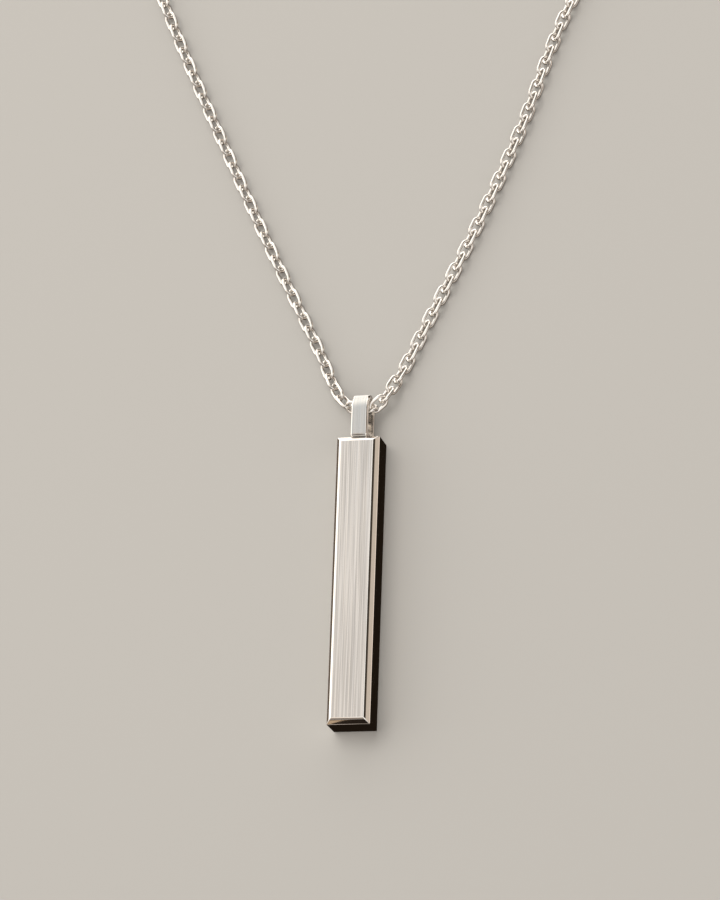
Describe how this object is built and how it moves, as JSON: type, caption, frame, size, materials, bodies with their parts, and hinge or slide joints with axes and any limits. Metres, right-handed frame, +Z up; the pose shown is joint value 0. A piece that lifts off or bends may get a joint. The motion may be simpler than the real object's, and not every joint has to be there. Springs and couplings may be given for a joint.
{
  "type": "bar pendant on a chain necklace",
  "caption": "Rectangular metal bar pendant with polished bevels, hung by a folded strip bail on a fine cable chain with a barrel clasp, laid flat.",
  "frame": {"origin": "middle of the necklace's outline, on the surface that it lies on", "axes": "+Z up from the surface, +Y from the bar through its bail to the clasp, +X to the right seen from above with the clasp away"},
  "size_m": [0.1077, 0.2268, 0.005],
  "materials": {
    "brushed_bar": "front brushed along its length, bevels and sides polished",
    "polished_bail": "polished",
    "chain_metal": "polished",
    "clasp_metal": "polished"
  },
  "bodies": {
    "root": {"bar": "brushed_bar", "bail": "polished_bail", "chain_left": "chain_metal", "chain_right": "chain_metal", "clasp": "clasp_metal"}
  },
  "joints": []
}
